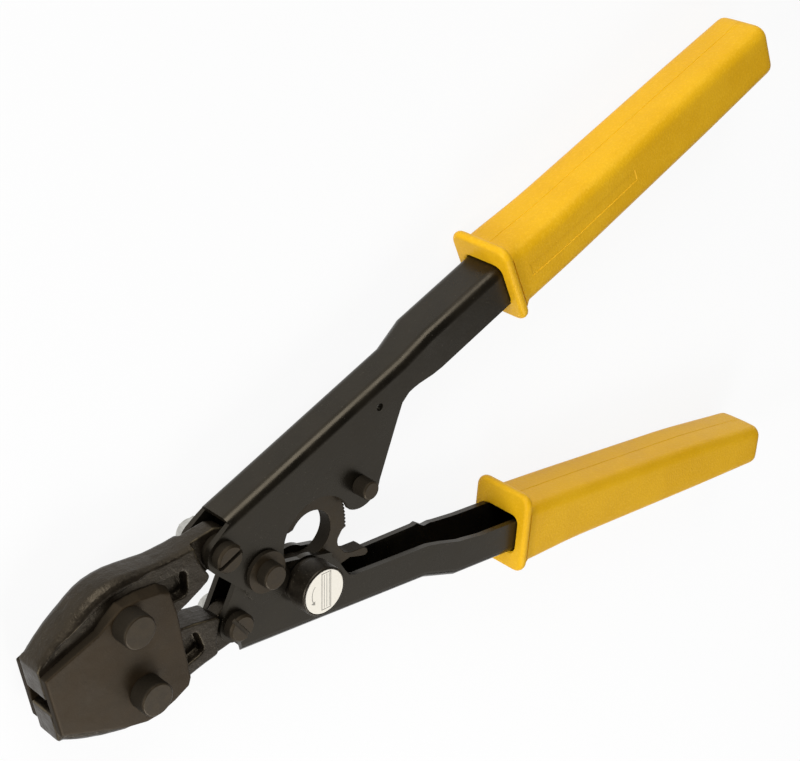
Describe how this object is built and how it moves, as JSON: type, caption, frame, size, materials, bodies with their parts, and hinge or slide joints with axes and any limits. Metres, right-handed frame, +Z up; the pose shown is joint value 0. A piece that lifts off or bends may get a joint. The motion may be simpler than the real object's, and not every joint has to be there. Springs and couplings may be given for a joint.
{
  "type": "pex pinch clamp tool",
  "caption": "Hand tool with two hinged jaws, compound lever handles in yellow grips, a toothed ratchet segment and a round release knob, for closing pinch clamps on tubing.",
  "frame": {"origin": "where the main pivot's axis meets the plane the tool lies on", "axes": "+X from the jaws to the grips, +Y towards the upper handle, +Z up from the surface the tool lies on"},
  "size_m": [0.3433, 0.1924, 0.0286],
  "materials": {
    "gloss_black_paint": "gloss black paint over stamped sheet steel",
    "yellow_plastic": "yellow moulded plastic with a fine sparked texture",
    "black_oxide": "black oxide over forged and machined steel",
    "zinc": "bright zinc plating",
    "nylon": "cream nylon",
    "spring_steel": "plain bright steel",
    "black_plastic": "black moulded plastic",
    "white_label": "white printed disc"
  },
  "bodies": {
    "upper_lever": {"upper_handle": "gloss_black_paint", "upper_grip": "yellow_plastic", "main_pivot_pin": "black_oxide", "pivot_washers": "black_oxide", "pivot_spacer": "spring_steel", "upper_link_screw": "black_oxide", "upper_link_nut": "zinc", "upper_nut_insert": "nylon", "link_spacers": "spring_steel", "pawl_pin": "black_oxide", "pawl_spacers": "spring_steel", "spring_anchor": "black_oxide", "pawl_spring": "spring_steel", "handle_spring": "spring_steel"},
    "lower_lever": {"lower_handle": "gloss_black_paint", "lower_grip": "yellow_plastic", "lower_link_screw": "black_oxide", "lower_link_nut": "zinc", "lower_nut_insert": "nylon"},
    "upper_jaw": {"upper_jaw": "black_oxide"},
    "head": {"near_head_plate": "black_oxide", "far_head_plate": "black_oxide", "upper_jaw_pin": "black_oxide", "lower_jaw_pin": "black_oxide"},
    "lower_jaw": {"lower_jaw": "black_oxide"},
    "knob": {"release_knob": "black_plastic", "knob_disc": "white_label", "knob_clip": "spring_steel"},
    "segment": {"ratchet_segment": "black_oxide"},
    "pawl": {"pawl": "black_oxide"}
  },
  "joints": [
    {"name": "handle_close", "type": "hinge", "parent": "upper_lever", "child": "lower_lever", "pos_m": [0, 0, 0.0132], "axis": [0, 0, 1], "range_deg": [0, 27.5], "stiffness_Nm_per_rad": 0.3, "springref_deg": -11.46, "deforming": ["handle_spring"]},
    {"name": "upper_jaw_turn", "type": "hinge", "parent": "upper_lever", "child": "upper_jaw", "pos_m": [-0.0133, 0.015, 0.0132], "axis": [0, 0, 1], "range_deg": [0, 18.1]},
    {"name": "head_turn", "type": "hinge", "parent": "upper_jaw", "child": "head", "pos_m": [-0.052, 0.0138, 0.0132], "axis": [0, 0, 1], "range_deg": [-4.3, 0]},
    {"name": "lower_jaw_turn", "type": "hinge", "parent": "head", "child": "lower_jaw", "pos_m": [-0.052, -0.0138, 0.0132], "axis": [0, 0, 1], "range_deg": [-4.3, 0]},
    {"name": "knob_turn", "type": "hinge", "parent": "lower_lever", "child": "knob", "pos_m": [0.0159, -0.0153, 0.0132], "axis": [0, 0, 1], "range_deg": [0, 80]},
    {"name": "segment_release", "type": "hinge", "parent": "lower_lever", "child": "segment", "pos_m": [0.0159, -0.0153, 0.0132], "axis": [0, 0, 1], "range_deg": [0, 4.5]},
    {"name": "pawl_swing", "type": "hinge", "parent": "upper_lever", "child": "pawl", "pos_m": [0.0431, 0.0086, 0.0132], "axis": [0, 0, 1], "range_deg": [-18, 0], "stiffness_Nm_per_rad": 0.01, "springref_deg": 17.19, "deforming": ["pawl_spring"]}
  ],
  "couplings": [
    {"joint": "upper_jaw_turn", "follows": "handle_close", "ratio": 0.65149},
    {"joint": "head_turn", "follows": "handle_close", "ratio": -0.15163},
    {"joint": "lower_jaw_turn", "follows": "handle_close", "ratio": -0.15012},
    {"joint": "segment_release", "follows": "knob_turn", "ratio": 0.055}
  ]
}
